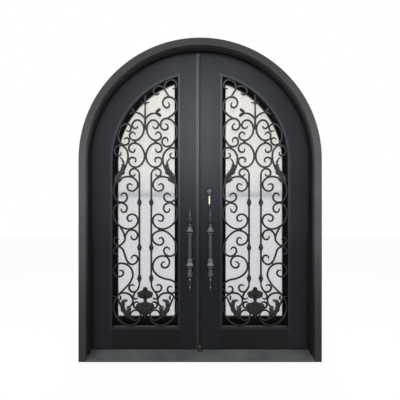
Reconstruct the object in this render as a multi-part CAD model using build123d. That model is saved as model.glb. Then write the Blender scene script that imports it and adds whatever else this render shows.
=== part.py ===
"""Arched double entry door of welded steel, with a scrollwork grille in each leaf.

Units are millimetres and +Z is up.  The face seen in the photograph looks along -Y.
The origin is on the underside of the threshold, at the middle of the door and of the
frame's depth.  Both leaves swing inward, towards +Y.
"""
import os
from math import atan2, cos, degrees, hypot, pi, sin, sqrt

from build123d import *

# Driving dimensions of the frame
DOOR_WIDTH = 1829.0
DOOR_HEIGHT = 2438.0
FRAME_DEPTH = 152.0
FRAME_FACE = 54.0
STOP_REACH = 15.0
STOP_SETBACK = 45.0
SILL_HEIGHT = 54.0
SILL_LIP = 13.0

# Driving dimensions of the leaves
LEAF_THICK = 63.0
EDGE_GAP = 5.0
SILL_GAP = 6.0
MEETING_GAP = 5.6
MEETING_BEVEL = 3.4
SEAL_GAP = 0.8
SEAL_THICK = 4.0
HINGE_STILE = 171.5
WINDOW_LOCK = 173.0
WINDOW_SILL = 229.0
BEAD_WIDTH = 20.0
BEAD_PROUD = 6.0
ASTRAGAL_WIDTH = 26.4
ASTRAGAL_INSET = 6.6
ASTRAGAL_PROUD = 6.0
MEETING_SEAL = 9.0
MEETING_SEAL_GAP = 0.4
MEETING_SEAL_END = 3.0

# Driving dimensions of the glazed sash behind each grille
SASH_GAP = 3.0
SASH_SIDE = 30.0
SASH_FOOT = 71.0
SASH_SETBACK = 40.0
SASH_PROUD = 8.0
GLASS_THICK = 8.0
GLASS_LIP = 10.0
GLASS_EDGE = 1.0
LIP_THICK = 8.0

# Driving dimensions of the grille
BAR = 15.0
PATTERN_WIDTH = 511.0
PATTERN_RADIUS = 684.0
PATTERN_LEG = 1294.5
BAR_TOP = 1428.0
BAR_FOOT = 571.0
BAR_REACH = 46.5
SCROLL = 13.0
SCROLL_THICK = 12.0
SCROLL_TIP = 0.6
GRILLE_SETBACK = 3.0
STEM = 11.0
STEM_TOP = 2045.0
STEM_FOOT = 1772.0
KNUCKLE_LEVELS = (609.0, 850.0, 1203.0)
KNUCKLE_SIDES = 8
KNUCKLE = ((-22.0, 8.5), (-13.0, 13.0), (0.0, 17.0), (13.0, 13.0), (22.0, 8.5))
CASTING_THICK = 8.0
SHARP_TURN = 72.0
BAY = -429.5

# Every point of the grille is drawn for a window of PATTERN_WIDTH and PATTERN_LEG, with its
# springing at 1523.5, and is fitted to the window in hand.
# Scrolls that come in pairs about the middle of the bay, drawn on the hinge side.
# Each line is one forged bar, given at its eyes, its quarter turns and its flattest stretches.
PAIRED_SCROLLS = (
    ((-489, 1800), (-510, 1783), (-531, 1800), (-522, 1834), (-485, 1848), (-452, 1821),
     (-441, 1776), (-458, 1724), (-505, 1690), (-548, 1708), (-550, 1740), (-527, 1753),
     (-509, 1736)),
    ((-511, 1622), (-519, 1600), (-545, 1601), (-558, 1636), (-530, 1666), (-485, 1660),
     (-448, 1618), (-435, 1566), (-452, 1513), (-500, 1480), (-550, 1501), (-556, 1541),
     (-528, 1556), (-504, 1539), (-511, 1520)),
    ((-640, 1381), (-600, 1399), (-550, 1405), (-508, 1384), (-489, 1341), (-508, 1303),
     (-543, 1293), (-570, 1318), (-556, 1349), (-533, 1339)),
    ((-477, 1421), (-483, 1446), (-503, 1465), (-528, 1467), (-550, 1446), (-548, 1419),
     (-527, 1409), (-509, 1426)),
    ((-619, 1154), (-600, 1126), (-573, 1154), (-610, 1199), (-668, 1168), (-678, 1101),
     (-625, 1016), (-555, 996), (-500, 1026), (-489, 1076), (-535, 1111), (-571, 1081),
     (-552, 1056), (-533, 1065)),
    ((-477, 574), (-485, 531), (-515, 502), (-547, 513), (-556, 541), (-537, 558),
     (-516, 552)),
    ((-497, 508), (-518, 484), (-524, 459), (-506, 447), (-490, 454)),
    ((-480, 411), (-506, 423), (-522, 401), (-508, 376), (-488, 376)),
    ((-655, 458), (-632, 486), (-585, 494), (-545, 476), (-527, 433), (-543, 396),
     (-575, 384)),
    ((-655, 460), (-678, 396), (-658, 311), (-600, 256), (-535, 242), (-485, 269),
     (-466, 301)),
    ((-650, 462), (-622, 396), (-600, 348), (-565, 304), (-545, 296)),
    ((-684, 470), (-655, 462)),
)

# Scrolls that stand alone, from the head of the window down
SINGLE_SCROLLS = (
    ((-214, 2096), (-196, 2097), (-183, 2126), (-200, 2156), (-236, 2164), (-270, 2139),
     (-278, 2096), (-258, 2056), (-238, 2026)),
    ((-322, 2059), (-340, 2047), (-360, 2059), (-366, 2084), (-350, 2107), (-320, 2115),
     (-278, 2100)),
    ((-250, 1983), (-241, 1964), (-258, 1946), (-284, 1958), (-293, 1986), (-278, 2018),
     (-242, 2030), (-205, 2013), (-182, 1976), (-182, 1936), (-205, 1901), (-265, 1862)),
    ((-431, 1846), (-445, 1876), (-478, 1901), (-515, 1908)),
    ((-431, 1846), (-414, 1876), (-385, 1897), (-345, 1900)),
    ((-577, 1768), (-557, 1761), (-541, 1786), (-560, 1816), (-602, 1811), (-635, 1764),
     (-640, 1706), (-612, 1660), (-575, 1656), (-556, 1684), (-570, 1709), (-594, 1699)),
    ((-272, 1818), (-252, 1799), (-263, 1775), (-297, 1779), (-310, 1816), (-285, 1856),
     (-235, 1854), (-195, 1811), (-181, 1756), (-197, 1696), (-235, 1646), (-282, 1648),
     (-298, 1686), (-277, 1711), (-254, 1696), (-255, 1681)),
    ((-622, 1596), (-622, 1578), (-645, 1570), (-668, 1591), (-665, 1631), (-622, 1651),
     (-583, 1626), (-565, 1566), (-578, 1501), (-605, 1444), (-645, 1394), (-675, 1326),
     (-673, 1256), (-635, 1208), (-588, 1211), (-572, 1251), (-595, 1277), (-619, 1258)),
    ((-222, 1589), (-237, 1570), (-218, 1551), (-188, 1558), (-180, 1596), (-205, 1630),
     (-255, 1619), (-288, 1574), (-290, 1516), (-265, 1448), (-213, 1388), (-187, 1331),
     (-180, 1276), (-205, 1218), (-255, 1209), (-284, 1244), (-262, 1275), (-233, 1253)),
    ((-625, 1556), (-604, 1526), (-601, 1486), (-605, 1451)),
    ((-240, 1546), (-259, 1514), (-258, 1471), (-255, 1436)),
    ((-540, 941), (-533, 918), (-510, 914), (-490, 946), (-510, 981), (-552, 986),
     (-583, 951), (-594, 901), (-625, 869), (-665, 849), (-679, 821), (-667, 800),
     (-650, 802)),
    ((-640, 1030), (-612, 988), (-594, 946), (-590, 916)),
    ((-640, 916), (-660, 928), (-678, 908), (-670, 883), (-640, 862), (-608, 838),
     (-590, 791), (-572, 746), (-535, 718), (-500, 734), (-489, 764), (-508, 788),
     (-530, 783), (-537, 764)),
    ((-322, 918), (-308, 928), (-288, 906), (-298, 876), (-335, 873), (-368, 901),
     (-371, 946), (-340, 974), (-290, 983), (-235, 951), (-195, 896), (-183, 841),
     (-202, 796), (-240, 782), (-273, 799), (-284, 831), (-262, 853), (-241, 834)),
    ((-277, 738), (-297, 731), (-302, 706), (-278, 691), (-248, 708), (-241, 744),
     (-268, 779), (-315, 781), (-362, 741), (-371, 691), (-340, 638), (-285, 608),
     (-225, 594), (-175, 556)),
    ((-632, 670), (-610, 668), (-603, 641), (-635, 622), (-672, 641), (-677, 686),
     (-645, 721), (-595, 724), (-545, 691), (-527, 636), (-547, 581), (-595, 524),
     (-645, 474), (-655, 458)),
    ((-222, 541), (-243, 544), (-256, 519), (-240, 496), (-212, 493), (-190, 511),
     (-175, 526)),
)

# Rings low in the grille, and the collars that tie neighbouring scrolls
RING_RADIUS = 40.0
RING_SIDES = 14
RING_CENTRE = (-506.0, 320.0)
PAIRED_COLLARS = ((-510, 1680, 34, 28), (-515, 1477, 24, 20), (-537, 995, 28, 20))
SINGLE_COLLARS = ((-320, 1812, 14, 26), (-245, 1641, 26, 22), (-625, 1660, 22, 18),
                  (-300, 993, 24, 20), (-241, 1208, 22, 20), (-617, 1206, 22, 20),
                  (-565, 728, 26, 20), (-265, 789, 24, 20), (-640, 866, 22, 20))

# Cast leaves seated on the grille's face: middle, length, width and lean from level
PAIRED_LEAVES = ((-592, 405, 92, 50, 108), (-552, 352, 84, 46, 50))
SINGLE_LEAVES = (
    (-603, 1465, 100, 40, 75), (-643, 1392, 112, 46, 55), (-615, 1420, 60, 34, 20),
    (-258, 1455, 96, 40, 108), (-222, 1390, 112, 46, 125), (-250, 1420, 60, 34, 160),
    (-533, 1927, 40, 20, 60), (-540, 1897, 36, 20, 140), (-326, 1923, 40, 20, 125),
    (-320, 1888, 36, 20, 50), (-431, 2040, 56, 17, 90), (-452, 1984, 46, 16, 140),
    (-410, 1984, 46, 16, 40))

# Half of the cast shell's outline, from its finial to its foot
SHELL_HALF = ((0, 548), (17, 541), (13, 522), (58, 510), (52, 476), (26, 458), (12, 430),
              (26, 408), (70, 398), (72, 368), (40, 345), (22, 318), (0, 298))

# Driving dimensions of the hinges
PIN_RADIUS = 6.0
PIN_CLEARANCE = 0.05
BARREL_RADIUS = 11.0
BARREL_HALF = 55.0
BARREL_FACE_GAP = 1.0
HINGE_SIDES = 12
HINGE_TAB = 25.0
HINGE_PIN_SHORT = 5.0
HINGE_LOW = 330.0
HINGE_TOP_DROP = 23.5

# Driving dimensions of the pulls
PULL_X = 78.0
PULL_STANDOFF = 52.0
PULL_SIDES = 10
PULL_TOP = 1158.0
PULL_POSTS = (964.0, 755.0)
POST_RADIUS = 8.0
POST_ROSE = 19.0
POST_ROSE_THICK = 4.0
INSIDE_PULL_TOP = 1070.0
INSIDE_PULL_FOOT = 650.0
INSIDE_PULL_RADIUS = 12.0

# Radii of the turned pull at depths below its tip
PULL_PROFILE = ((0, 2), (61, 5), (80, 12), (113, 12), (128, 7), (143, 16), (179, 26), (185, 14),
                (194, 18), (205, 13), (388, 13), (403, 18), (418, 21), (438, 28), (443, 15),
                (453, 20), (463, 12), (498, 15), (528, 7), (539, 4), (549, 10), (559, 4),
                (598, 3.5), (607, 8), (616, 4), (635, 2))

# Driving dimensions of the lock
LOCK_X = 71.0
LOCK_Z = 1288.0
ROSE_RADIUS = 30.0
ROSE_THICK = 8.0
CYLINDER_RADIUS = 17.0
CYLINDER_PROUD = 7.0
ROUND_SIDES = 24
KEY_BOW = 22.0
KEY_THICK = 2.5
TAG_WIDTH = 8.0
TAG_DROP = 41.0
TAG_LENGTH = 57.0
PLATE_WIDTH = 26.0
PLATE_HEIGHT = 220.0
PLATE_THICK = 3.0
BOLT_POCKET = 20.0
BOLT_POCKET_DEPTH = 25.0

# Driving dimensions of the sash's hinges and latches
SASH_HINGE_RISE = 251.0
SASH_HINGE_DROP = 73.5
SASH_LATCH_RISE = 291.0
SASH_LATCH_DROP = 283.5
SASH_BARREL = 6.0
SASH_HINGE_HALF = 32.0
SASH_LEAF = 24.0
SASH_PLATE = 3.0
LATCH_LENGTH = 46.0
LATCH_HALF = 11.0
LATCH_THICK = 8.0

# Places worked out from the driving dimensions
OUTER_RADIUS = DOOR_WIDTH / 2
SPRING = DOOR_HEIGHT - OUTER_RADIUS
REBATE_RADIUS = OUTER_RADIUS - FRAME_FACE
STOP_RADIUS = REBATE_RADIUS - STOP_REACH
FRONT = -FRAME_DEPTH / 2
BACK = FRAME_DEPTH / 2
LEAF_FRONT = BACK - LEAF_THICK
LEAF_RADIUS = REBATE_RADIUS - EDGE_GAP
WINDOW_SIDE = LEAF_RADIUS - HINGE_STILE
LEAF_FOOT = SILL_HEIGHT + SILL_GAP
SEAL_BACK = LEAF_FRONT - SEAL_GAP
STOP_FRONT = FRONT + STOP_SETBACK
STOP_BACK = SEAL_BACK - SEAL_THICK
MEETING_EDGE = MEETING_GAP / 2
HINGE_X = -(LEAF_RADIUS + REBATE_RADIUS) / 2
HINGE_Y = BACK + BARREL_RADIUS + 1.0
GRILLE_FRONT = LEAF_FRONT + GRILLE_SETBACK
SCROLL_FRONT = GRILLE_FRONT + (BAR - SCROLL_THICK) / 2
SCROLL_BACK = SCROLL_FRONT + SCROLL_THICK
SASH_FRONT = LEAF_FRONT + SASH_SETBACK
SASH_BACK = BACK + SASH_PROUD
GLASS_FRONT = SASH_FRONT + LIP_THICK
HINGE_HIGH = SPRING - HINGE_TOP_DROP
HINGE_LEVELS = (HINGE_LOW, (HINGE_LOW + HINGE_HIGH) / 2, HINGE_HIGH)
SASH_HINGE_LOW = WINDOW_SILL + SASH_HINGE_RISE
SASH_HINGE_HIGH = SPRING - SASH_HINGE_DROP
SASH_HINGE_LEVELS = (SASH_HINGE_LOW, (SASH_HINGE_LOW + SASH_HINGE_HIGH) / 2, SASH_HINGE_HIGH)
SASH_LATCH_LEVELS = (WINDOW_SILL + SASH_LATCH_RISE, SPRING - SASH_LATCH_DROP)


def rect(x0, x1, z0, z1):
    """Rectangle between two upright and two level lines."""
    return Pos((x0 + x1) / 2, (z0 + z1) / 2) * Rectangle(x1 - x0, z1 - z0)


def disc(radius, x=0.0, z=SPRING):
    """Round face about a point of the elevation."""
    return Pos(x, z) * Circle(radius)


def slab(face, y0, y1):
    """Face drawn in elevation, made solid between two depths."""
    return extrude(Plane.XZ.offset(-y1) * face, y1 - y0)


def block(x0, x1, y0, y1, z0, z1):
    """Plain box between three pairs of planes."""
    return Pos((x0 + x1) / 2, (y0 + y1) / 2, (z0 + z1) / 2) * Box(x1 - x0, y1 - y0, z1 - z0)


def post(radius, x, y, z0, z1):
    """Upright round bar."""
    return Pos(x, y, (z0 + z1) / 2) * Cylinder(radius, z1 - z0)


def flip(shape):
    """The same piece on the other side of the door."""
    return mirror(shape, about=Plane.YZ)


def quarter_ring(outer, inner):
    """Left half of the arch's ring, from the spring line to the crown."""
    ring = disc(outer) - disc(inner)
    return ring & rect(-outer, 0, SPRING, SPRING + outer)


def window_outline(inset, foot_inset):
    """Left leaf's window opening, drawn in by an inset."""
    left = -(WINDOW_SIDE - inset)
    right = -(WINDOW_LOCK + inset)
    lower = rect(left, right, WINDOW_SILL + foot_inset, SPRING)
    upper = disc(WINDOW_SIDE - inset) & rect(left, right, SPRING, SPRING + WINDOW_SIDE)
    return lower + upper


def ring_outline(inset_out, foot_out, inset_in, foot_in):
    """Band that follows the window opening between two insets."""
    return window_outline(inset_out, foot_out) - window_outline(inset_in, foot_in)


def jamb():
    """Upright of the frame, a plain tube."""
    return block(-OUTER_RADIUS, -REBATE_RADIUS, FRONT, BACK, 0, SPRING)


def arch_head():
    """Half of the frame's bent head."""
    return slab(quarter_ring(OUTER_RADIUS, REBATE_RADIUS), FRONT, BACK)


def stop():
    """Stop that the leaf closes against, up the jamb and round the head."""
    leg = rect(-REBATE_RADIUS, -STOP_RADIUS, 0, SPRING)
    return slab(leg + quarter_ring(REBATE_RADIUS, STOP_RADIUS), STOP_FRONT, STOP_BACK)


def seal():
    """Rubber seal on the back of the stop."""
    leg = rect(-REBATE_RADIUS, -STOP_RADIUS, SILL_HEIGHT, SPRING)
    return slab(leg + quarter_ring(REBATE_RADIUS, STOP_RADIUS), STOP_BACK, SEAL_BACK)


def threshold():
    """Sloped sill between the jambs."""
    profile = Polyline((FRONT, 0), (BACK, 0), (BACK, SILL_HEIGHT), (LEAF_FRONT, SILL_HEIGHT),
                       (FRONT, SILL_LIP), close=True)
    plane = Plane.YZ.offset(-REBATE_RADIUS)
    sill = extrude(plane * make_face(profile), 2 * REBATE_RADIUS)
    for sign in (-1, 1):
        edge = sign * (REBATE_RADIUS + STOP_RADIUS) / 2
        sill -= block(edge - STOP_REACH / 2, edge + STOP_REACH / 2, STOP_FRONT, SEAL_BACK,
                      0, SILL_HEIGHT)
    return sill - block(-BOLT_POCKET, BOLT_POCKET, LEAF_FRONT - BOLT_POCKET,
                        LEAF_FRONT + BOLT_POCKET, SILL_HEIGHT - BOLT_POCKET_DEPTH, SILL_HEIGHT)


def hinge_stile():
    """Upright of the leaf along the jamb."""
    return block(-LEAF_RADIUS, -WINDOW_SIDE, LEAF_FRONT, BACK, LEAF_FOOT, SPRING)


def edge_at(y):
    """Place of the bevelled meeting edge at a depth."""
    return -MEETING_EDGE - MEETING_BEVEL * (BACK - y) / LEAF_THICK


def edge_plate():
    """Plate let into the meeting edge at the height of the lock."""
    middle = (LEAF_FRONT + BACK) / 2
    y0, y1 = middle - PLATE_WIDTH / 2, middle + PLATE_WIDTH / 2
    profile = Polyline((edge_at(y0), y0), (edge_at(y1), y1), (edge_at(y1) - PLATE_THICK, y1),
                       (edge_at(y0) - PLATE_THICK, y0), close=True)
    return Pos(0, 0, LOCK_Z - PLATE_HEIGHT / 2) * extrude(make_face(profile), PLATE_HEIGHT)


def lock_stile():
    """Upright of the leaf at the meeting, with its bevelled edge and a pocket for its plate."""
    face = rect(-WINDOW_LOCK, 0, LEAF_FOOT, SPRING)
    face += disc(LEAF_RADIUS) & rect(-WINDOW_LOCK, 0, SPRING, SPRING + LEAF_RADIUS)
    stile = slab(face, LEAF_FRONT, BACK)
    cut = Polyline((edge_at(LEAF_FRONT), LEAF_FRONT), (edge_at(BACK), BACK), (WINDOW_LOCK, BACK),
                   (WINDOW_LOCK, LEAF_FRONT), close=True)
    return stile - extrude(make_face(cut), DOOR_HEIGHT) - edge_plate()


def bottom_rail():
    """Kick panel under the window."""
    return block(-WINDOW_SIDE, -WINDOW_LOCK, LEAF_FRONT, BACK, LEAF_FOOT, WINDOW_SILL)


def arched_rail():
    """Bent rail over the window."""
    band = disc(LEAF_RADIUS) - disc(WINDOW_SIDE)
    face = band & rect(-LEAF_RADIUS, -WINDOW_LOCK, SPRING, SPRING + LEAF_RADIUS)
    return slab(face, LEAF_FRONT, BACK)


def window_bead():
    """Moulding round the window on the leaf's face."""
    band = ring_outline(-BEAD_WIDTH, -BEAD_WIDTH, 0, 0)
    return slab(band, LEAF_FRONT - BEAD_PROUD, LEAF_FRONT)


def sash():
    """Frame of the hinged glass panel."""
    lip = ring_outline(SASH_GAP, SASH_GAP, SASH_SIDE, SASH_FOOT)
    body = ring_outline(SASH_GAP, SASH_GAP, SASH_SIDE - GLASS_LIP, SASH_FOOT - GLASS_LIP)
    front = slab(lip, SASH_FRONT, GLASS_FRONT)
    return front + slab(body, GLASS_FRONT, SASH_BACK)


def glass():
    """Pane that seats against the sash's lip."""
    inset = SASH_SIDE - GLASS_LIP + GLASS_EDGE
    foot = SASH_FOOT - GLASS_LIP + GLASS_EDGE
    return slab(window_outline(inset, foot), GLASS_FRONT, GLASS_FRONT + GLASS_THICK)


def across(points):
    """The same line on the other side of the bay's middle."""
    return [(2 * BAY - x, z) for x, z in points]


def fit_x(x):
    """Place across the window in hand of a place in the drawn pattern."""
    return -WINDOW_LOCK + (x + WINDOW_LOCK) * (WINDOW_SIDE - WINDOW_LOCK) / PATTERN_WIDTH


def fit_z(z):
    """Height in the window in hand of a height in the drawn pattern."""
    rise = z - WINDOW_SILL - PATTERN_LEG
    if rise > 0:
        return SPRING + rise * WINDOW_SIDE / PATTERN_RADIUS
    return SPRING + rise * (SPRING - WINDOW_SILL) / PATTERN_LEG


def fitted(points):
    """Line of the drawn pattern, fitted to the window in hand."""
    return [(fit_x(x), fit_z(z)) for x, z in points]


def turn_at(before, here, after):
    """Angle, in degrees, by which a line turns at a point."""
    first = atan2(here[1] - before[1], here[0] - before[0])
    second = atan2(after[1] - here[1], after[0] - here[0])
    return abs(degrees((second - first + pi) % (2 * pi) - pi))


def smooth(points):
    """Smooth line through the points, with an extra step where it bends sharply."""
    last = len(points) - 1
    line = []
    for i in range(last):
        p0, p1, p2, p3 = (points[max(0, min(last, i + k))] for k in (-1, 0, 1, 2))
        bend = max(turn_at(p0, p1, p2) if i else 0, turn_at(p1, p2, p3) if i + 2 <= last else 0)
        steps = 2 if bend > SHARP_TURN else 1
        for step in range(steps):
            t = step / steps
            weights = (-t + 2 * t**2 - t**3, 2 - 5 * t**2 + 3 * t**3,
                       t + 4 * t**2 - 3 * t**3, -t**2 + t**3)
            line.append(tuple(sum(w * p[axis] for w, p in zip(weights, (p0, p1, p2, p3))) / 2
                              for axis in (0, 1)))
    return line + [points[-1]]


def band(points, width):
    """Flat outline of a bar that follows a line and thins at its two tips."""
    line = smooth(points)
    left, right = [], []
    for i, (x, z) in enumerate(line):
        (xa, za), (xb, zb) = line[max(i - 1, 0)], line[min(i + 1, len(line) - 1)]
        length = hypot(xb - xa, zb - za)
        tip = i in (0, len(line) - 1)
        half = width / 2 * (SCROLL_TIP if tip else 1)
        nx, nz = (za - zb) / length * half, (xb - xa) / length * half
        left.append((x + nx, z + nz))
        right.append((x - nx, z - nz))
    return make_face(Polyline(*(left + right[::-1]), close=True))


def ring(x, z):
    """Ring of the grille, with as few sides as its scrolls."""
    outer = RegularPolygon(RING_RADIUS + SCROLL / 2, RING_SIDES)
    inner = RegularPolygon(RING_RADIUS - SCROLL / 2, RING_SIDES)
    return Pos(x, z) * (outer - inner)


def collar(x, z, width, height):
    """Collar that ties two scrolls."""
    return Pos(fit_x(x), fit_z(z)) * Rectangle(width, height)


def scroll_faces():
    """Every scroll, ring and collar of one leaf, in elevation."""
    lines = list(SINGLE_SCROLLS)
    for points in PAIRED_SCROLLS:
        lines += [points, across(points)]
    faces = [band(fitted(points), SCROLL) for points in lines]
    x, z = RING_CENTRE
    faces += [ring(fit_x(x), fit_z(z)), ring(fit_x(2 * BAY - x), fit_z(z))]
    faces += [collar(*size) for size in SINGLE_COLLARS]
    for x, z, width, height in PAIRED_COLLARS:
        faces += [collar(x, z, width, height), collar(2 * BAY - x, z, width, height)]
    return faces


def turned(x, y, profile, sides):
    """Solid of flat facets about an upright line, from a row of heights and radii."""
    turns = [2 * pi * k / sides for k in range(sides)]
    rings = [[(x + r * cos(a), y + r * sin(a), z) for a in turns] for z, r in profile]
    faces = [make_face(Polyline(*rings[0], close=True)), make_face(Polyline(*rings[-1], close=True))]
    for low, high in zip(rings, rings[1:]):
        for k in range(sides):
            after = (k + 1) % sides
            edge = Polyline(low[k], low[after], high[after], high[k], close=True)
            faces.append(make_face(edge))
    return Solid(Shell([face.face() for face in faces]))


def knuckle(x, z):
    """Forged knuckle on a straight bar."""
    profile = [(z + dz, r) for dz, r in KNUCKLE]
    return turned(x, GRILLE_FRONT + BAR / 2, profile, KNUCKLE_SIDES)


def straight_bars():
    """Two upright bars with their knuckles, and the stem that ends as a spear."""
    front, back = GRILLE_FRONT, GRILLE_FRONT + BAR
    x = fit_x(BAY)
    pieces = [block(x - STEM / 2, x + STEM / 2, SCROLL_FRONT, SCROLL_BACK,
                    fit_z(STEM_FOOT), fit_z(STEM_TOP))]
    for x in (fit_x(BAY - BAR_REACH), fit_x(BAY + BAR_REACH)):
        pieces.append(block(x - BAR / 2, x + BAR / 2, front, back, fit_z(BAR_FOOT), fit_z(BAR_TOP)))
        pieces += [knuckle(x, fit_z(z)) for z in KNUCKLE_LEVELS]
    return pieces


def grille():
    """Scrollwork of one leaf, fused with its bars and cut to the window."""
    faces = scroll_faces()
    flat = faces[0].fuse(*faces[1:])
    flat = flat & window_outline(0, 0)
    solid = slab(flat, SCROLL_FRONT, SCROLL_BACK)
    return solid.fuse(*straight_bars())


def leaf_outline(x, z, length, width, lean):
    """Pointed leaf, flat, about its middle."""
    half, side = length / 2, width / 2
    points = ((-half, 0), (-half / 2, side * 0.8), (0, side), (half / 2, side * 0.6), (half, 0),
              (half / 2, -side * 0.6), (0, -side), (-half / 2, -side * 0.8))
    return Pos(fit_x(x), fit_z(z)) * Rot(0, 0, lean) * make_face(Polyline(*points, close=True))


def shell_outline():
    """Cast shell with its finial, at the foot of the bay."""
    right = [(BAY + x, z) for x, z in SHELL_HALF]
    left = [(BAY - x, z) for x, z in SHELL_HALF[-2:0:-1]]
    return make_face(Polyline(*fitted(right + left), close=True))


def castings():
    """Cast leaves and shell seated on the front of the scrolls."""
    leaves = list(SINGLE_LEAVES)
    for x, z, length, width, lean in PAIRED_LEAVES:
        leaves += [(x, z, length, width, lean), (2 * BAY - x, z, length, width, 180 - lean)]
    faces = [leaf_outline(*leaf) for leaf in leaves]
    flat = shell_outline().fuse(*faces) & window_outline(0, 0)
    return slab(flat, SCROLL_FRONT - CASTING_THICK, SCROLL_FRONT)


def glazing_bead():
    """Inner bead that holds the pane in its sash."""
    inset, foot = SASH_SIDE - GLASS_LIP, SASH_FOOT - GLASS_LIP
    band = ring_outline(inset, foot, SASH_SIDE, SASH_FOOT)
    return slab(band, GLASS_FRONT + GLASS_THICK, SASH_BACK)


def sash_hinge(z):
    """Hinge that carries the glass panel on the inside of the leaf."""
    low, high = z - SASH_HINGE_HALF, z + SASH_HINGE_HALF
    x, y = -WINDOW_SIDE + SASH_GAP / 2, SASH_BACK + SASH_BARREL
    barrel = Pos(x, y, low) * extrude(RegularPolygon(SASH_BARREL, 8), high - low)
    on_leaf = block(x - SASH_LEAF, x - SASH_GAP, BACK, BACK + SASH_PLATE, low, high)
    riser = block(x - SASH_BARREL, x - SASH_GAP, BACK, y, low, high)
    on_sash = block(x, x + SASH_LEAF - SASH_GAP, SASH_BACK, SASH_BACK + SASH_PLATE, low, high)
    return barrel + on_leaf + riser + on_sash


def sash_latch(z):
    """Turn button that holds the glass panel shut."""
    x0 = -WINDOW_LOCK - SASH_GAP - LATCH_LENGTH / 2
    x1 = x0 + LATCH_LENGTH
    bar = block(x0, x1, SASH_BACK, SASH_BACK + LATCH_THICK, z - LATCH_HALF, z + LATCH_HALF)
    foot = block(x1 - LATCH_LENGTH / 3, x1, BACK, SASH_BACK, z - LATCH_HALF, z + LATCH_HALF)
    return bar + foot


def pull_post(z, face, side):
    """Post and rose that hold a pull off the leaf."""
    away = Plane.XZ.offset(-face)
    reach = side * PULL_STANDOFF
    stem = extrude(away * Pos(-PULL_X, z) * RegularPolygon(POST_RADIUS, 8), reach)
    rose = extrude(away * Pos(-PULL_X, z) * RegularPolygon(POST_ROSE, PULL_SIDES),
                   side * POST_ROSE_THICK)
    return stem + rose


def outside_pull():
    """Turned pull with a spiked top and a long drop at its foot."""
    profile = [(PULL_TOP - depth, r) for depth, r in PULL_PROFILE]
    bar = turned(-PULL_X, LEAF_FRONT - PULL_STANDOFF, profile, PULL_SIDES)
    return bar.fuse(*[pull_post(z, LEAF_FRONT, 1) for z in PULL_POSTS])


def inside_pull():
    """Plain round pull on the inside of the leaf."""
    y = BACK + PULL_STANDOFF
    bar = Pos(-PULL_X, y, INSIDE_PULL_FOOT) * extrude(
        RegularPolygon(INSIDE_PULL_RADIUS, PULL_SIDES), INSIDE_PULL_TOP - INSIDE_PULL_FOOT)
    return bar.fuse(*[pull_post(z, BACK, -1) for z in PULL_POSTS])


def round_plate(radius, y0, y1):
    """Round plate of the lock between two depths."""
    face = Pos(LOCK_X, LOCK_Z) * RegularPolygon(radius, ROUND_SIDES)
    return slab(face, y0, y1)


def lock_rose():
    """Rose round the outside of the lock cylinder."""
    ring = round_plate(ROSE_RADIUS, LEAF_FRONT - ROSE_THICK, LEAF_FRONT)
    return ring - round_plate(CYLINDER_RADIUS, LEAF_FRONT - ROSE_THICK, LEAF_FRONT)


def lock_cylinder():
    """Face of the lock cylinder, with its keyway."""
    front = LEAF_FRONT - ROSE_THICK - CYLINDER_PROUD
    body = round_plate(CYLINDER_RADIUS, front, LEAF_FRONT)
    slot = block(LOCK_X - KEY_THICK / 2, LOCK_X + KEY_THICK / 2, front, front + CYLINDER_PROUD,
                 LOCK_Z - 5, LOCK_Z + 5)
    return body - slot


def key():
    """Key left in the cylinder, with a brass tag that hangs from its bow."""
    front = LEAF_FRONT - ROSE_THICK - CYLINDER_PROUD
    x0, x1 = LOCK_X - KEY_THICK / 2, LOCK_X + KEY_THICK / 2
    blade = block(x0, x1, front - 2, front + CYLINDER_PROUD, LOCK_Z - 5, LOCK_Z + 5)
    bow = block(x0, x1, front - KEY_BOW, front - 2, LOCK_Z - KEY_BOW / 2, LOCK_Z + KEY_BOW / 2)
    y0, y1 = front - KEY_BOW + 4, front - KEY_BOW + 4 + KEY_THICK
    top = LOCK_Z - TAG_DROP
    link = block(x0, x1, y0, y1, top - 1, LOCK_Z)
    tag = block(LOCK_X - TAG_WIDTH / 2, LOCK_X + TAG_WIDTH / 2, y0, y1, top - TAG_LENGTH, top)
    return blade + bow + link + tag


def thumbturn():
    """Rose and turn of the lock on the inside."""
    rose = round_plate(ROSE_RADIUS, BACK, BACK + ROSE_THICK)
    return rose + block(LOCK_X - 4, LOCK_X + 4, BACK + ROSE_THICK, BACK + 26,
                        LOCK_Z - 18, LOCK_Z + 18)


def outer_barrel(low, high):
    """Outside of a hinge barrel, with few flat sides."""
    return Pos(HINGE_X, HINGE_Y, low) * extrude(RegularPolygon(BARREL_RADIUS, HINGE_SIDES), high - low)


def frame_barrel(level):
    """Lower half of a hinge, with its pin, welded to the jamb."""
    low = level - BARREL_HALF
    barrel = outer_barrel(low, level)
    pin = post(PIN_RADIUS, HINGE_X, HINGE_Y, level, level + BARREL_HALF - HINGE_PIN_SHORT)
    tab = block(-REBATE_RADIUS - 1 - HINGE_TAB, -REBATE_RADIUS - 1, BACK, HINGE_Y, low, level)
    return barrel + pin + tab


def leaf_barrel(level):
    """Upper half of a hinge, bored for the pin, welded to the leaf."""
    low = level + BARREL_FACE_GAP
    high = level + BARREL_HALF
    barrel = outer_barrel(low, high)
    tab = block(-LEAF_RADIUS + 1, -LEAF_RADIUS + 1 + HINGE_TAB, BACK, HINGE_Y, low, high)
    return (barrel + tab) - post(PIN_RADIUS + PIN_CLEARANCE, HINGE_X, HINGE_Y, low, high)


def astragal():
    """Strip on the left leaf's face along the meeting."""
    left, right = -ASTRAGAL_INSET - ASTRAGAL_WIDTH, -ASTRAGAL_INSET
    strip = rect(left, right, LEAF_FOOT, SPRING)
    strip += disc(STOP_RADIUS - ASTRAGAL_PROUD) & rect(left, right, SPRING, DOOR_HEIGHT)
    return slab(strip, LEAF_FRONT - ASTRAGAL_PROUD, LEAF_FRONT)


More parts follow.
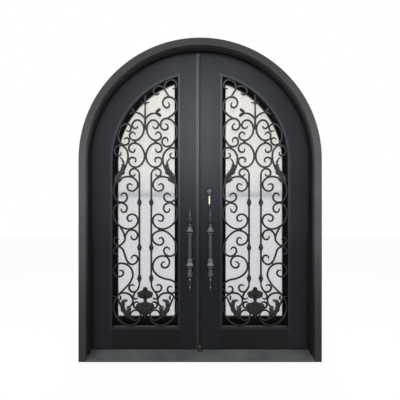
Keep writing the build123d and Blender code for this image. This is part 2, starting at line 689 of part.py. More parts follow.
def meeting_seal():
    """Rubber strip on the right leaf's edge that closes the view through the meeting.

    It reaches as near the other leaf as the swing of its own leaf allows.
    """
    y1 = BACK - 1.0
    y0 = y1 - MEETING_SEAL
    gap_edge = MEETING_EDGE - MEETING_SEAL_GAP
    swing = hypot(-HINGE_X + gap_edge, HINGE_Y - BACK)
    profile = Polyline((-HINGE_X - sqrt(swing**2 - (HINGE_Y - y0) ** 2), y0),
                       (-HINGE_X - sqrt(swing**2 - (HINGE_Y - y1) ** 2), y1),
                       (-edge_at(y1), y1), (-edge_at(y0), y0), close=True)
    top = SPRING + LEAF_RADIUS - MEETING_SEAL_END
    return Pos(0, 0, LEAF_FOOT) * extrude(make_face(profile), top - LEAF_FOOT)


def paired():
    """Pieces that both sides have, drawn on the left."""
    return {
        "jamb": jamb(),
        "arch_head": arch_head(),
        "stop": stop(),
        "seal": seal(),
        "frame_hinge_barrels": Compound([frame_barrel(z) for z in HINGE_LEVELS]),
        "leaf_hinge_barrels": Compound([leaf_barrel(z) for z in HINGE_LEVELS]),
        "hinge_stile": hinge_stile(),
        "lock_stile": lock_stile(),
        "bottom_rail": bottom_rail(),
        "arched_rail": arched_rail(),
        "window_bead": window_bead(),
        "sash": sash(),
        "glass": glass(),
        "grille": grille(),
        "grille_castings": castings(),
        "outside_pull": outside_pull(),
        "inside_pull": inside_pull(),
        "glazing_bead": glazing_bead(),
        "sash_fittings": Compound([sash_hinge(z) for z in SASH_HINGE_LEVELS]
                                  + [sash_latch(z) for z in SASH_LATCH_LEVELS]),
    }


def single():
    """Pieces that the door has one of."""
    return {
        "threshold": threshold(),
        "astragal": astragal(),
        "lock_rose": lock_rose(),
        "lock_cylinder": lock_cylinder(),
        "key": key(),
        "thumbturn": thumbturn(),
        "strike_plate": edge_plate(),
        "lock_faceplate": flip(edge_plate()),
        "meeting_seal": meeting_seal(),
    }


def main():
    os.makedirs("parts", exist_ok=True)
    for name, shape in paired().items():
        export_step(shape, f"parts/left_{name}.step")
        export_step(flip(shape), f"parts/right_{name}.step")
    for name, shape in single().items():
        export_step(shape, f"parts/{name}.step")


main()
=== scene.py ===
from math import atan2, cos, hypot, pi, radians, sin

import bpy
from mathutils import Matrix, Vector

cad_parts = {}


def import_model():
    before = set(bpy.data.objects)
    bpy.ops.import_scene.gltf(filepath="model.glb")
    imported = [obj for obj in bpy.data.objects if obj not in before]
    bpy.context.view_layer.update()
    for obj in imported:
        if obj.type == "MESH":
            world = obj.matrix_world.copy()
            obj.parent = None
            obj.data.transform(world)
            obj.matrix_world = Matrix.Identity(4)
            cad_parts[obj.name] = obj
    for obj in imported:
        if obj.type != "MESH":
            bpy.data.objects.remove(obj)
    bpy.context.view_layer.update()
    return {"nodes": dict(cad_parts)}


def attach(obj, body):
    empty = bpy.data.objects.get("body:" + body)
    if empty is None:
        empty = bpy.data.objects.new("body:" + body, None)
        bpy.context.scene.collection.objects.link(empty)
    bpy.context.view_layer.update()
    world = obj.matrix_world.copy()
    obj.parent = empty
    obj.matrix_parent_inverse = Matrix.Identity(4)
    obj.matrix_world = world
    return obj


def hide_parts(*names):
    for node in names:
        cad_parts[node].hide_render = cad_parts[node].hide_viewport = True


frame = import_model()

MM = 0.001

# Values repeated from the CAD, in millimetres. What both leaves have is drawn on the left leaf,
# seen from outside; the lock and the meeting edge are drawn on the right one.
LEAF_FRONT, LEAF_BACK = 13.0, 76.0
SCROLL_FRONT, SCROLL_BACK = 17.5, 29.5
SCROLL_MIDDLE = (SCROLL_FRONT + SCROLL_BACK) / 2
GRILLE_FRONT, BAR = 16.0, 15.0
SCROLL, SCROLL_CUT = 13.0, 2.6
FORGED_WIDTH = SCROLL + 1.2
BAR_TOP, BAR_FOOT, BAR_REACH = 1428.0, 571.0, 46.5
STEM_FOOT = 1772.0
KNUCKLE_LEVELS = (609.0, 850.0, 1203.0)
BAY = -429.5
# Lines of the scrolls: the paired ones stand on both sides of the bay's middle
PAIRED_SCROLLS = (
    ((-489, 1800), (-510, 1783), (-531, 1800), (-522, 1834), (-485, 1848), (-452, 1821),
     (-441, 1776), (-458, 1724), (-505, 1690), (-548, 1708), (-550, 1740), (-527, 1753),
     (-509, 1736)),
    ((-511, 1622), (-519, 1600), (-545, 1601), (-558, 1636), (-530, 1666), (-485, 1660),
     (-448, 1618), (-435, 1566), (-452, 1513), (-500, 1480), (-550, 1501), (-556, 1541),
     (-528, 1556), (-504, 1539), (-511, 1520)),
    ((-640, 1381), (-600, 1399), (-550, 1405), (-508, 1384), (-489, 1341), (-508, 1303),
     (-543, 1293), (-570, 1318), (-556, 1349), (-533, 1339)),
    ((-477, 1421), (-483, 1446), (-503, 1465), (-528, 1467), (-550, 1446), (-548, 1419),
     (-527, 1409), (-509, 1426)),
    ((-619, 1154), (-600, 1126), (-573, 1154), (-610, 1199), (-668, 1168), (-678, 1101),
     (-625, 1016), (-555, 996), (-500, 1026), (-489, 1076), (-535, 1111), (-571, 1081),
     (-552, 1056), (-533, 1065)),
    ((-477, 574), (-485, 531), (-515, 502), (-547, 513), (-556, 541), (-537, 558),
     (-516, 552)),
    ((-497, 508), (-518, 484), (-524, 459), (-506, 447), (-490, 454)),
    ((-480, 411), (-506, 423), (-522, 401), (-508, 376), (-488, 376)),
    ((-655, 458), (-632, 486), (-585, 494), (-545, 476), (-527, 433), (-543, 396),
     (-575, 384)),
    ((-655, 460), (-678, 396), (-658, 311), (-600, 256), (-535, 242), (-485, 269),
     (-466, 301)),
    ((-650, 462), (-622, 396), (-600, 348), (-565, 304), (-545, 296)),
    ((-684, 470), (-655, 462)),
)
SINGLE_SCROLLS = (
    ((-214, 2096), (-196, 2097), (-183, 2126), (-200, 2156), (-236, 2164), (-270, 2139),
     (-278, 2096), (-258, 2056), (-238, 2026)),
    ((-322, 2059), (-340, 2047), (-360, 2059), (-366, 2084), (-350, 2107), (-320, 2115),
     (-278, 2100)),
    ((-250, 1983), (-241, 1964), (-258, 1946), (-284, 1958), (-293, 1986), (-278, 2018),
     (-242, 2030), (-205, 2013), (-182, 1976), (-182, 1936), (-205, 1901), (-265, 1862)),
    ((-431, 1846), (-445, 1876), (-478, 1901), (-515, 1908)),
    ((-431, 1846), (-414, 1876), (-385, 1897), (-345, 1900)),
    ((-577, 1768), (-557, 1761), (-541, 1786), (-560, 1816), (-602, 1811), (-635, 1764),
     (-640, 1706), (-612, 1660), (-575, 1656), (-556, 1684), (-570, 1709), (-594, 1699)),
    ((-272, 1818), (-252, 1799), (-263, 1775), (-297, 1779), (-310, 1816), (-285, 1856),
     (-235, 1854), (-195, 1811), (-181, 1756), (-197, 1696), (-235, 1646), (-282, 1648),
     (-298, 1686), (-277, 1711), (-254, 1696), (-255, 1681)),
    ((-622, 1596), (-622, 1578), (-645, 1570), (-668, 1591), (-665, 1631), (-622, 1651),
     (-583, 1626), (-565, 1566), (-578, 1501), (-605, 1444), (-645, 1394), (-675, 1326),
     (-673, 1256), (-635, 1208), (-588, 1211), (-572, 1251), (-595, 1277), (-619, 1258)),
    ((-222, 1589), (-237, 1570), (-218, 1551), (-188, 1558), (-180, 1596), (-205, 1630),
     (-255, 1619), (-288, 1574), (-290, 1516), (-265, 1448), (-213, 1388), (-187, 1331),
     (-180, 1276), (-205, 1218), (-255, 1209), (-284, 1244), (-262, 1275), (-233, 1253)),
    ((-625, 1556), (-604, 1526), (-601, 1486), (-605, 1451)),
    ((-240, 1546), (-259, 1514), (-258, 1471), (-255, 1436)),
    ((-540, 941), (-533, 918), (-510, 914), (-490, 946), (-510, 981), (-552, 986),
     (-583, 951), (-594, 901), (-625, 869), (-665, 849), (-679, 821), (-667, 800),
     (-650, 802)),
    ((-640, 1030), (-612, 988), (-594, 946), (-590, 916)),
    ((-640, 916), (-660, 928), (-678, 908), (-670, 883), (-640, 862), (-608, 838),
     (-590, 791), (-572, 746), (-535, 718), (-500, 734), (-489, 764), (-508, 788),
     (-530, 783), (-537, 764)),
    ((-322, 918), (-308, 928), (-288, 906), (-298, 876), (-335, 873), (-368, 901),
     (-371, 946), (-340, 974), (-290, 983), (-235, 951), (-195, 896), (-183, 841),
     (-202, 796), (-240, 782), (-273, 799), (-284, 831), (-262, 853), (-241, 834)),
    ((-277, 738), (-297, 731), (-302, 706), (-278, 691), (-248, 708), (-241, 744),
     (-268, 779), (-315, 781), (-362, 741), (-371, 691), (-340, 638), (-285, 608),
     (-225, 594), (-175, 556)),
    ((-632, 670), (-610, 668), (-603, 641), (-635, 622), (-672, 641), (-677, 686),
     (-645, 721), (-595, 724), (-545, 691), (-527, 636), (-547, 581), (-595, 524),
     (-645, 474), (-655, 458)),
    ((-222, 541), (-243, 544), (-256, 519), (-240, 496), (-212, 493), (-190, 511),
     (-175, 526)),
)
RING_RADIUS, RING_CENTRE = 40.0, (-506.0, 320.0)
# Places, widths and heights of the collars
PAIRED_COLLARS = ((-510, 1680, 34, 28), (-515, 1477, 24, 20), (-537, 995, 28, 20))
SINGLE_COLLARS = ((-320, 1812, 14, 26), (-245, 1641, 26, 22), (-625, 1660, 22, 18),
                  (-300, 993, 24, 20), (-241, 1208, 22, 20), (-617, 1206, 22, 20),
                  (-565, 728, 26, 20), (-265, 789, 24, 20), (-640, 866, 22, 20))
PULL_X, PULL_STANDOFF, PULL_TOP = 78.0, 52.0, 1158.0
PULL_Y = LEAF_FRONT - PULL_STANDOFF
PULL_POSTS = (964.0, 755.0)
INSIDE_PULL_TOP, INSIDE_PULL_FOOT, INSIDE_PULL_RADIUS = 1070.0, 650.0, 12.0
LOCK_X, LOCK_Z = 71.0, 1288.0
ROSE_RADIUS, ROSE_THICK = 30.0, 8.0
CYLINDER_RADIUS, CYLINDER_PROUD = 17.0, 7.0
KEYHOLE_Y = LEAF_FRONT - ROSE_THICK - CYLINDER_PROUD
TAG_Y, TAG_TOP, TAG_FOOT = KEYHOLE_Y - 17, 1252.0, 1190.0
SPRING, WINDOW_SIDE, WINDOW_LOCK, WINDOW_SILL = 1523.5, 684.0, 173.0, 229.0
SASH_GAP, SASH_BACK, SASH_BARREL, SASH_HALF = 3.0, 84.0, 6.0, 32.0
SASH_HINGE_LEVELS, SASH_LATCH_LEVELS = (480.0, 965.0, 1450.0), (520.0, 1240.0)
HINGE_X, HINGE_Y, HINGE_LEVELS = -858.0, 88.0, (330.0, 915.0, 1500.0)
HINGE_RADIUS, HINGE_HALF, HINGE_TAB = 11.0, 55.0, 25.0
REBATE, LEAF_EDGE = 860.5, 855.5
MEETING_FOOT, SEAL_TOP, STRIP_TOP = 60.5, 2378.4, 2376.0

# Values of the scene alone: metres, but for the thickness of the cast sheets in millimetres
SHADE_HEIGHT_RANGE, GLASS_RANGE = 2.5, 2.438
GRAIN_DEPTH, FIGURE_DEPTH = 0.001, 0.0015
DUST_AND_TOP_LIGHT_COVER = 0.85
CAST_SHEET, SHELL_SHEET, PETAL_SHEET = 3.0, 3.4, 2.2
SHARP_ANGLE, BEVEL_ANGLE = 35, 40
WELD_REACH, EDGE_WIDTH = 0.00002, 0.0012
BLACK, WHITE = (0.0, 0.0, 0.0), (1.0, 1.0, 1.0)

# Materials


class Tree:
    """Nodes of a material or of the world, with a short call for each kind that is used here."""

    def __init__(self, owner):
        owner.use_nodes = True
        self.nodes, self.links = owner.node_tree.nodes, owner.node_tree.links

    def feed(self, node, inputs):
        """Links each input to a socket, or sets its number."""
        for name, value in inputs.items():
            if isinstance(value, bpy.types.NodeSocket):
                self.links.new(value, node.inputs[name])
            else:
                node.inputs[name].default_value = value

    def add(self, kind, inputs, output, operation=None):
        """Adds a node and gives one of its outputs."""
        node = self.nodes.new("ShaderNode" + kind)
        if operation:
            node.operation = operation
        self.feed(node, inputs)
        return node.outputs[output]

    def noise(self, where, scale, detail, roughness=0.5):
        """Cloudy pattern from nought to one."""
        return self.add("TexNoise", {"Vector": where, "Scale": scale, "Detail": detail,
                                     "Roughness": roughness}, "Fac")

    def spread(self, value, low, high, least=0.0, most=1.0):
        """Takes a value from one range to another."""
        return self.add("MapRange", {"Value": value, "From Min": low, "From Max": high,
                                     "To Min": least, "To Max": most}, "Result")

    def ramp(self, value, stops, interpolation="LINEAR"):
        """Colours along a value; the two stops that a new ramp has come first."""
        node = self.nodes.new("ShaderNodeValToRGB")
        node.color_ramp.interpolation = interpolation
        elements = node.color_ramp.elements
        for k, (place, colour) in enumerate(stops):
            stop = elements[k] if k < 2 else elements.new(place)
            stop.position = place
            stop.color = (*colour, 1)
        self.feed(node, {"Fac": value})
        return node.outputs["Color"]

    def blend(self, share, colour, over):
        """A colour with a share of another one over it, by the colour sockets of a Mix node."""
        node = self.nodes.new("ShaderNodeMix")
        node.data_type = "RGBA"
        self.feed(node, {0: share, 6: colour, 7: (*over, 1)})
        return node.outputs[2]


def paint(name, low, high, rough=(0.35, 0.5), scale=6.0, grain=700.0, bump=0.05, metallic=0.0,
          gloss=0.5, dust=None, painted_height_shade=None, dust_and_top_light=None, lying=(0.6, 0.95), tint=WHITE):
    """Painted or bare metal with mottled colour, uneven gloss and a fine grain.

    A row of height and share darkens the colour lower down and keeps it paler higher up: painted
    shade.
    The colour for faces that look up is partly dust lying there and partly painted light on the lit
    tops;
    lying says how steeply they look up where it starts and where it is full.
    """
    mat = bpy.data.materials.new(name)
    tree = Tree(mat)
    where = tree.add("TexCoord", {}, "Object")
    patches = tree.noise(where, scale, 6.0, 0.6)
    fine = tree.noise(where, grain, 3.0)
    colour = tree.ramp(patches, ((0.34, low), (0.68, high)))
    if dust:
        specks = tree.ramp(fine, ((0.62, BLACK), (0.75, WHITE)))
        colour = tree.blend(specks, colour, dust)
    # painted shade: the colour darkened by height, darkest towards the foot
    if painted_height_shade:
        height = tree.add("SeparateXYZ", {"Vector": where}, "Z")
        height = tree.add("Math", {0: height, 1: SHADE_HEIGHT_RANGE}, "Value", "DIVIDE")
        shade_levels = [(z / SHADE_HEIGHT_RANGE, (level,) * 3) for z, level in painted_height_shade]
        share = tree.ramp(height, shade_levels, "EASE")
        colour = tree.add("VectorMath", {0: colour, 1: share}, "Vector", "MULTIPLY")
    # partly dust, partly painted light: faces that look up made paler
    if dust_and_top_light:
        normal = tree.add("NewGeometry", {}, "True Normal")
        up = tree.add("SeparateXYZ", {"Vector": normal}, "Z")
        dust_and_light_film = tree.spread(up, *lying, most=DUST_AND_TOP_LIGHT_COVER)
        colour = tree.blend(dust_and_light_film, colour, dust_and_top_light)
    relief = {"Strength": bump, "Distance": GRAIN_DEPTH, "Height": fine}
    tree.feed(tree.nodes["Principled BSDF"], {
        "Base Color": colour, "Metallic": metallic, "Specular IOR Level": gloss,
        "Specular Tint": (*tint, 1), "Roughness": tree.spread(patches, 0.0, 1.0, *rough),
        "Normal": tree.add("Bump", relief, "Normal")})
    return mat


# Glass tones by height: painted reflection, with a faint blue-grey band near the middle.
GLASS_PAINTED_REFLECTION = ((0.0, (0.75, 0.745, 0.79)), (1.0, (0.74, 0.71, 0.67)), (0.47, (0.80, 0.80, 0.825)),
               (0.507, (0.76, 0.77, 0.80)), (0.517, (0.49, 0.51, 0.565)),
               (0.535, (0.77, 0.775, 0.79)), (0.60, (0.88, 0.87, 0.835)))


def figured_glass():
    """Obscure glass with a rain figure, pale, with tones by height and a faint blue-grey band:
    painted reflection.
    """
    mat = bpy.data.materials.new("obscure_glass")
    tree = Tree(mat)
    where = tree.add("TexCoord", {}, "Object")
    height = tree.add("SeparateXYZ", {"Vector": where}, "Z")
    painted_tone = tree.ramp(tree.spread(height, 0.0, GLASS_RANGE), GLASS_PAINTED_REFLECTION)
    figure = tree.noise(where, 120.0, 2.0)
    speck = tree.spread(figure, 0.35, 0.65, 0.80, 1.10)
    relief = {"Strength": 0.4, "Distance": FIGURE_DEPTH, "Height": figure}
    tree.feed(tree.nodes["Principled BSDF"], {
        "Base Color": tree.add("VectorMath", {0: painted_tone, "Scale": speck}, "Vector", "SCALE"),
        "Transmission Weight": 0.85, "IOR": 1.45, "Roughness": 0.35,
        "Normal": tree.add("Bump", relief, "Normal")})
    return mat


COOL = (0.82, 0.90, 1.0)
# Heights in metres and shares of the colour: painted shade, darker towards the foot; the dark line
# at the very foot is painted contact shadow
LEAF_HEIGHT_SHADE = ((0.1, 0.12), (1.9, 0.88), (0.7, 0.24), (1.3, 0.66))
FRAME_HEIGHT_SHADE = ((0.0, 0.05), (2.3, 0.45), (0.006, 0.05), (0.012, 0.25), (0.1, 0.25),
              (1.4, 1.0))
SILL_HEIGHT_SHADE = ((0.0, 0.05), (1.0, 1.0), (0.006, 0.05), (0.012, 1.0))
# Every row of heights and shares below darkens its paint towards the foot as painted shade; every
# colour for up-facing faces is partly dust and partly painted light.
MATERIALS = {
    "frame": paint("frame_paint", (0.060, 0.060, 0.065), (0.085, 0.085, 0.091), (0.48, 0.6), 3.0,
                   bump=0.02, gloss=0.24, painted_height_shade=FRAME_HEIGHT_SHADE, dust_and_top_light=(0.12, 0.12, 0.12)),
    "leaf": paint("leaf_paint", (0.0150, 0.0175, 0.0205), (0.0225, 0.0255, 0.0300),
                  (0.30, 0.38), 2.5, gloss=0.19, painted_height_shade=LEAF_HEIGHT_SHADE,
                  dust_and_top_light=(0.085, 0.086, 0.090), tint=COOL),
    "stop": paint("stop_paint", (0.006, 0.006, 0.007), (0.010, 0.010, 0.012), (0.45, 0.6), 4.0,
                  gloss=0.10),
    "sash": paint("sash_paint", (0.002, 0.002, 0.003), (0.004, 0.004, 0.005), (0.45, 0.6), 8.0,
                  gloss=0.04),
    # Darker copy of the leaf paint for the bottom rail: painted shade.
    "kick": paint("kick_shaded_paint", (0.006, 0.0065, 0.007), (0.009, 0.010, 0.011), (0.36, 0.46), 2.5,
                  gloss=0.09, dust_and_top_light=(0.12, 0.121, 0.125)),
    "iron": paint("wrought_iron_paint", (0.018, 0.020, 0.021), (0.040, 0.043, 0.045),
                  (0.36, 0.55), 30.0, 450.0, 0.3, gloss=0.25, dust=(0.08, 0.08, 0.08),
                  painted_height_shade=((0.2, 0.16), (2.1, 1.0), (0.9, 0.30), (1.5, 0.75))),
    "cast": paint("cast_iron_paint", (0.010, 0.011, 0.012), (0.030, 0.032, 0.034),
                  (0.32, 0.5), 45.0, 450.0, 0.3, gloss=0.3, dust=(0.07, 0.07, 0.07),
                  painted_height_shade=((0.2, 0.3), (2.1, 1.0), (0.9, 0.5), (1.5, 0.9)),
                  dust_and_top_light=(0.13, 0.135, 0.14), lying=(0.35, 0.9)),
    "pull": paint("pull_iron_paint", (0.013, 0.015, 0.020), (0.037, 0.041, 0.051),
                  (0.26, 0.40), 35.0, 150.0, 0.35, gloss=0.5, dust=(0.16, 0.165, 0.18),
                  dust_and_top_light=(0.145, 0.155, 0.172), lying=(0.08, 0.5)),
    # Lighter, more neutral copy of the leaf paint for the hinge stiles and arched rail: painted
    # light from reflections.
    "rail": paint("rail_lit_paint", (0.018, 0.0185, 0.022), (0.027, 0.027, 0.0315), (0.30, 0.38), 2.5,
                  gloss=0.21, painted_height_shade=LEAF_HEIGHT_SHADE, dust_and_top_light=(0.085, 0.086, 0.090), tint=COOL),
    # Paler copy of the leaf paint for the window bead: painted highlight.
    "bead": paint("bead_highlight_paint", (0.033, 0.035, 0.039), (0.047, 0.049, 0.054), (0.28, 0.38), 4.0,
                  gloss=0.26, painted_height_shade=LEAF_HEIGHT_SHADE, tint=COOL),
    # Darker copy of the pull paint for the basket leaves: painted shade; their up-facing tips get a
    # strong pale colour, partly dust and partly painted light.
    "leafwork": paint("pull_leaf_iron_shaded", (0.005, 0.0055, 0.007), (0.014, 0.016, 0.020),
                      (0.28, 0.42), 60.0, 300.0, 0.3, gloss=0.4,
                      dust_and_top_light=(0.25, 0.265, 0.295), lying=(0.25, 0.75)),
    "astragal": paint("astragal_paint", (0.040, 0.045, 0.051), (0.055, 0.061, 0.068),
                      (0.30, 0.38), 4.0, gloss=0.24, painted_height_shade=LEAF_HEIGHT_SHADE),
    "seal": paint("seal_rubber", (0.010, 0.010, 0.010), (0.018, 0.018, 0.018), (0.7, 0.85), 20.0),
    "sill": paint("threshold_paint", (0.048, 0.052, 0.056), (0.090, 0.096, 0.10),
                  (0.35, 0.6), 5.0, dust=(0.16, 0.16, 0.16), painted_height_shade=SILL_HEIGHT_SHADE),
    "chrome": paint("worn_chrome", (0.045, 0.049, 0.054), (0.10, 0.106, 0.115), (0.24, 0.38), 60.0,
                    900.0, 0.06, metallic=1.0),
    "lock": paint("lock_face", (0.020, 0.022, 0.025), (0.050, 0.052, 0.056), (0.22, 0.4), 80.0,
                  900.0, 0.05, metallic=1.0),
    "brass": paint("tag_brass", (0.50, 0.42, 0.30), (0.68, 0.60, 0.46), (0.25, 0.4), 60.0,
                   800.0, 0.05, metallic=1.0),
    "steel": paint("hardware_steel", (0.28, 0.28, 0.29), (0.40, 0.40, 0.41), (0.3, 0.42), 40.0,
                   900.0, 0.05, metallic=1.0),
    "glass": figured_glass(),
}

# Mesh helpers, all in millimetres; a part is a list of points and a list of faces


def merge(*parts):
    """Joins lists of points and faces."""
    points, faces = [], []
    for more_points, more_faces in parts:
        base = len(points)
        points += more_points
        faces += [[i + base for i in face] for face in more_faces]
    return points, faces


def flip(part):
    """The same shape on the other side of the door."""
    points, faces = part
    return [(-x, y, z) for x, y, z in points], [face[::-1] for face in faces]


def piece(name, part, material, body, slot, nodes=(), thick=0.0):
    """Makes an object of a part and says what it rides on and which nodes it replaces."""
    points, faces = part
    mesh = bpy.data.meshes.new(name)
    mesh.from_pydata([(x * MM, y * MM, z * MM) for x, y, z in points], [], faces)
    mesh.validate()
    mesh.shade_smooth()
    mesh.set_sharp_from_angle(angle=radians(SHARP_ANGLE))
    mesh.materials.append(MATERIALS[material])
    obj = bpy.data.objects.new(name, mesh)
    bpy.context.scene.collection.objects.link(obj)
    if thick:
        shell = obj.modifiers.new("thickness", "SOLIDIFY")
        shell.thickness = thick * MM
        shell.offset = 0.0
    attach(obj, body)
    if nodes:
        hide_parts(*nodes)


def skin(rings, closed=False):
    """Faces over a row of rings with the same number of points, with flat ends unless closed."""
    count = len(rings[0])
    points = [p for ring in rings for p in ring]
    faces = []
    for i in range(len(rings) if closed else len(rings) - 1):
        a, b = i * count, ((i + 1) % len(rings)) * count
        for j in range(count):
            k = (j + 1) % count
            faces.append([a + j, a + k, b + k, b + j])
    if not closed:
        faces.append(list(range(count))[::-1])
        faces.append([(len(rings) - 1) * count + j for j in range(count)])
    return points, faces


def sheet(points, columns, order=(0, 1, 2, 3)):
    """Faces over rows of points; order says how each face runs round its corners."""
    wide = columns + 1
    corners = (0, 1, wide + 1, wide)
    return points, [[i * wide + j + corners[k] for k in order]
                    for i in range(len(points) // wide - 1) for j in range(columns)]


def turns(count):
    """Angles of a full turn in equal steps."""
    return [2 * pi * i / count for i in range(count)]


def heading(line, i):
    """Direction of a line at one of its points."""
    (xa, za), (xb, zb) = line[max(i - 1, 0)], line[min(i + 1, len(line) - 1)]
    length = hypot(xb - xa, zb - za) or 1.0
    return (xb - xa) / length, (zb - za) / length


def smooth(points, steps):
    """Line through the points, round where they lie on a circle."""
    spots = [Vector(p) for p in points]
    chords = [b - a for a, b in zip(spots, spots[1:])]
    heads = [(u / u.length_squared + v / v.length_squared).normalized()
             for u, v in zip(chords, chords[1:])] or [chords[0].normalized()]
    first, last = chords[0].normalized(), chords[-1].normalized()
    heads = ([2 * first.dot(heads[0]) * first - heads[0]] + heads
             + [2 * last.dot(heads[-1]) * last - heads[-1]])
    line = []
    for i, chord in enumerate(chords):
        turn = heads[i].angle(heads[i + 1])
        reach = chord.length / cos(turn / 4) ** 2
        for step in range(steps):
            t = step / steps
            spot = (spots[i] + chord * (3 * t**2 - 2 * t**3)
                    + heads[i] * reach * (t**3 - 2 * t**2 + t)
                    + heads[i + 1] * reach * (t**3 - t**2))
            line.append(tuple(spot))
    return line + [tuple(points[-1])]


def section(half, deep, cut):
    """Bar section with cut corners: across, and out of the face."""
    return ((half, -deep + cut), (half - cut, -deep), (-half + cut, -deep), (-half, -deep + cut),
            (-half, deep - cut), (-half + cut, deep), (half - cut, deep), (half, deep - cut))


def forged_bar(points, steps=6, width=FORGED_WIDTH, y0=SCROLL_FRONT, y1=SCROLL_BACK, taper=36.0,
               tip=0.62):
    """Bar that follows a line, with tips drawn down and rounded."""
    line = smooth(points, steps)
    lengths = [0.0]
    for (xa, za), (xb, zb) in zip(line, line[1:]):
        lengths.append(lengths[-1] + hypot(xb - xa, zb - za))
    mid, deep = (y0 + y1) / 2, (y1 - y0) / 2
    rings = []
    for i, (x, z) in enumerate(line):
        tx, tz = heading(line, i)
        from_end = min(lengths[i], lengths[-1] - lengths[i])
        drawn = tip + (1 - tip) * min(1.0, from_end / taper)
        half, thin = width / 2 * drawn, deep * (0.75 + 0.25 * drawn)
        ring = [(x - u * tz, mid + v, z + u * tx)
                for u, v in section(half, thin, min(SCROLL_CUT, half * 0.5))]
        ahead = half * (-0.8 if i == 0 else 0.8)
        nose = [(x + ahead * tx - u * tz * 0.55, mid + v * 0.7, z + ahead * tz + u * tx * 0.55)
                for u, v in section(half, thin, half * 0.4)]
        if i == 0:
            rings += [nose, ring]
        elif i == len(line) - 1:
            rings += [ring, nose]
        else:
            rings.append(ring)
    return skin(rings)


def hoop(x, z, radius):
    """Ring of the grille."""
    bar = section(SCROLL / 2, (SCROLL_BACK - SCROLL_FRONT) / 2, SCROLL_CUT)
    return skin([[(x + (radius - u) * cos(a), SCROLL_MIDDLE + v, z + (radius - u) * sin(a))
                  for u, v in bar] for a in turns(48)], closed=True)


def soft_block(x0, x1, y0, y1, z0, z1, cut):
    """Block with every edge cut."""
    rings = []
    for z, inset in ((z0, cut), (z0 + cut, 0), (z1 - cut, 0), (z1, cut)):
        half, deep = (x1 - x0) / 2 - inset, (y1 - y0) / 2 - inset
        rings.append([((x0 + x1) / 2 + u, (y0 + y1) / 2 + v, z)
                      for u, v in section(half, deep, cut)[::-1]])
    return skin(rings)


def lathe(profile, x, y, z=0.0, sides=32, flute=0, depth=0.0):
    """Turned form about an upright axis; the profile is height and radius."""
    rings = []
    for height, radius in profile:
        ring = []
        for a in turns(sides):
            r = radius * (1 - depth * (0.5 - 0.5 * cos(flute * a)))
            ring.append((x + r * cos(a), y + r * sin(a), z + height))
        rings.append(ring)
    if profile[0][0] > profile[-1][0]:
        rings = rings[::-1]
    return skin(rings)


def lathe_out(profile, x, z, face, side, sides):
    """Turned form that stands out of a face; the profile is reach and radius."""
    rings = [[(x + radius * cos(a), face + side * reach, z + radius * sin(a))
              for a in turns(sides)] for reach, radius in profile]
    if side > 0:
        rings = [ring[::-1] for ring in rings]
    return skin(rings)


def pebble(x, y, z, rx, ry, rz, sides=16, rows=9):
    """Cast lobe or ball."""
    rings = []
    for i in range(1, rows):
        a = pi * i / rows - pi / 2
        rings.append([(x + rx * cos(a) * cos(b), y + ry * cos(a) * sin(b), z + rz * sin(a))
                      for b in turns(sides)])
    return skin(rings)


def ease(a, b, t):
    """Soft step from nought at a to one at b."""
    t = max(0.0, min(1.0, (t - a) / (b - a)))
    return t * t * (3 - 2 * t)


def cast_leaf(spine, width, lobes=5, cup=8.0, tip=0.4, front=SCROLL_FRONT, hook=6.0):
    """Cast leaf along a curved rib, with scalloped edges, veins and a lifted tip."""
    line, columns = smooth(spine, 8), 12
    points = []
    for i, (x, z) in enumerate(line):
        tx, tz = heading(line, i)
        u = i / (len(line) - 1)
        body = min(1.0, 0.35 + 2.4 * u) * (1 - (1 - tip) * ease(0.5, 1.0, u))
        half = width / 2 * body * (0.64 + 0.36 * abs(sin(pi * lobes * u)) ** 0.6)
        for j in range(columns + 1):
            v = -1 + 2 * j / columns
            ahead = 0.45 * abs(v) ** 1.5 * half
            bowl = cup * (0.45 + 0.55 * sin(pi * u)) * (1 - abs(v) ** 1.6)
            rib = 2.6 * (1 - abs(v)) ** 2
            vein = 1.2 * cos(2 * pi * lobes * u - 2.4 * abs(v)) * abs(v)
            rise = bowl + rib + vein + hook * ease(0.6, 1.0, u)
            points.append((x - v * half * tz + ahead * tx, front - 1.0 - rise,
                           z + v * half * tx + ahead * tz))
    return sheet(points, columns, (0, 3, 2, 1))


def between(table, value):
    """Value read off a row of pairs."""
    for (a, p), (b, q) in zip(table, table[1:]):
        if value <= b:
            return p + (q - p) * max(0.0, (value - a) / (b - a))
    return table[-1][1]


def fan(x, z, reach, ribs, front, dome, down=False):
    """Fluted half of the shell; reach is a row of angle from level and radius."""
    rows, columns = 14, ribs * 8
    first, root = reach[0][0], 5
    points = []
    for i in range(rows + 1):
        u = i / rows
        for j in range(columns + 1):
            t = j / columns
            angle = first + (180 - 2 * first) * t
            flute = abs(sin(pi * ribs * t))
            far = between(reach, min(angle, 180 - angle)) * (0.93 + 0.07 * flute)
            r = root + (far - root) * u
            depth = dome * (1 - (u - 0.5) ** 2 * 2.6) + 3.6 * (flute - 0.5) * ease(0, 0.4, u)
            a = radians(-angle if down else angle)
            points.append((x + r * cos(a), front - depth, z + r * sin(a)))
    return sheet(points, columns, (3, 2, 1, 0) if down else (0, 1, 2, 3))


def across(points):
    """The same line on the other side of the bay's middle."""
    return [(2 * BAY - x, z) for x, z in points]


# The grille


def scrolls():
    """Scrolls and rings; each front lies a little apart, so that no two faces share a plane."""
    parts = []
    for k, points in enumerate(SINGLE_SCROLLS + PAIRED_SCROLLS):
        front = SCROLL_FRONT - 0.2 * (k % 5)
        parts.append(forged_bar(points, y0=front))
        if k >= len(SINGLE_SCROLLS):
            parts.append(forged_bar(across(points), y0=front))
    x, z = RING_CENTRE
    parts += [hoop(x, z, RING_RADIUS), hoop(2 * BAY - x, z, RING_RADIUS)]
    return merge(*parts)


